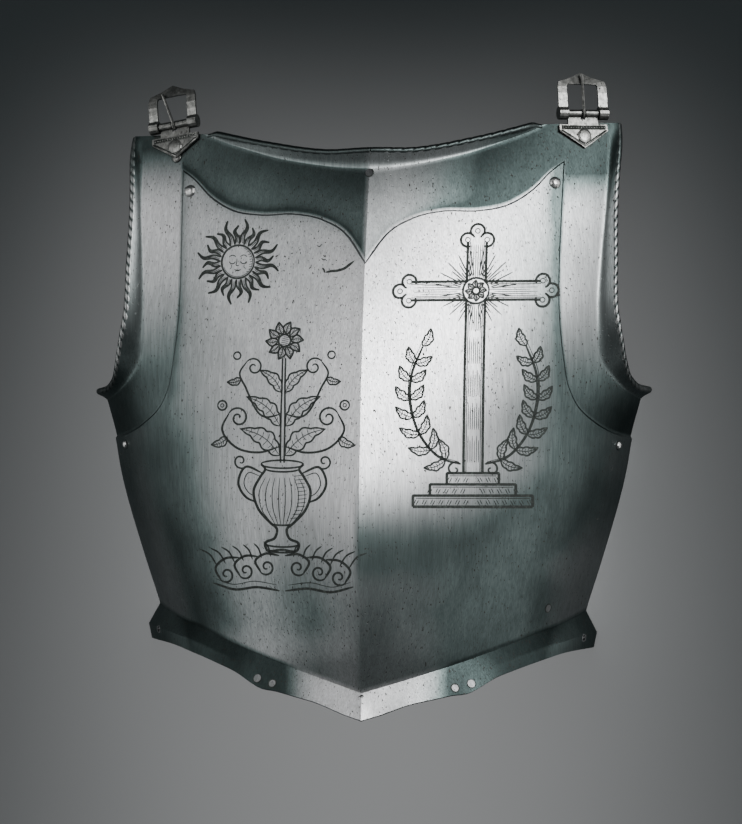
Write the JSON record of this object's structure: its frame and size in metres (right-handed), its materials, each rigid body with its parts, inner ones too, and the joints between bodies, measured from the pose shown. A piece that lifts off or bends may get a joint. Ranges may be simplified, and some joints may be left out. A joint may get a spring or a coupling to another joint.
{
  "type": "cuirass breastplate",
  "caption": "Ridged steel breastplate with sunk neck and arm bands, rolled edges, a flared hem and a strap buckle on each shoulder.",
  "frame": {"origin": "middle of the outline seen from the front, in the plane that the side rims rest on", "axes": "+Z out of the chest, +Y towards the neck, +X to the right as seen from the front"},
  "size_m": [0.3808, 0.4394, 0.151],
  "materials": {
    "plate_steel": "satin",
    "rivet_steel": "satin",
    "buckle_steel": "worn, darkened"
  },
  "bodies": {
    "plate": {"breastplate": "plate_steel", "left_shoulder_rivet": "rivet_steel", "left_side_rivet": "rivet_steel", "left_inner_hem_rivet": "rivet_steel", "left_outer_hem_rivet": "rivet_steel", "left_buckle_rivet": "buckle_steel", "right_shoulder_rivet": "rivet_steel", "right_side_rivet": "rivet_steel", "right_inner_hem_rivet": "rivet_steel", "right_outer_hem_rivet": "rivet_steel", "right_buckle_rivet": "buckle_steel", "neck_plug": "rivet_steel", "waist_plug": "rivet_steel"},
    "left_buckle": {"left_buckle_plate": "buckle_steel"},
    "left_frame": {"left_buckle_frame": "buckle_steel"},
    "left_tongue": {"left_buckle_tongue": "buckle_steel"},
    "right_buckle": {"right_buckle_plate": "buckle_steel"},
    "right_frame": {"right_buckle_frame": "buckle_steel"},
    "right_tongue": {"right_buckle_tongue": "buckle_steel"}
  },
  "joints": [
    {"name": "left_buckle_swivel", "type": "hinge", "parent": "plate", "child": "left_buckle", "pos_m": [-0.13249, 0.16898, 0.03582], "axis": [-0.3563, 0.2948, 0.8867], "range_deg": [-20, 0]},
    {"name": "left_frame_hinge", "type": "hinge", "parent": "left_buckle", "child": "left_frame", "pos_m": [-0.13438, 0.18454, 0.03327], "axis": [0.9329, 0.1659, 0.3197], "range_deg": [-60, 60]},
    {"name": "left_tongue_hinge", "type": "hinge", "parent": "left_frame", "child": "left_tongue", "pos_m": [-0.13438, 0.18454, 0.03327], "axis": [0.9329, 0.1659, 0.3197], "range_deg": [0, 55]},
    {"name": "right_buckle_swivel", "type": "hinge", "parent": "plate", "child": "right_buckle", "pos_m": [0.14498, 0.17602, 0.03327], "axis": [0.3656, 0.2523, 0.8959], "range_deg": [-5, 10]},
    {"name": "right_frame_hinge", "type": "hinge", "parent": "right_buckle", "child": "right_frame", "pos_m": [0.14459, 0.19187, 0.03231], "axis": [0.9259, 0, -0.3778], "range_deg": [-60, 60]},
    {"name": "right_tongue_hinge", "type": "hinge", "parent": "right_frame", "child": "right_tongue", "pos_m": [0.14459, 0.19187, 0.03231], "axis": [0.9259, 0, -0.3778], "range_deg": [0, 55]}
  ]
}
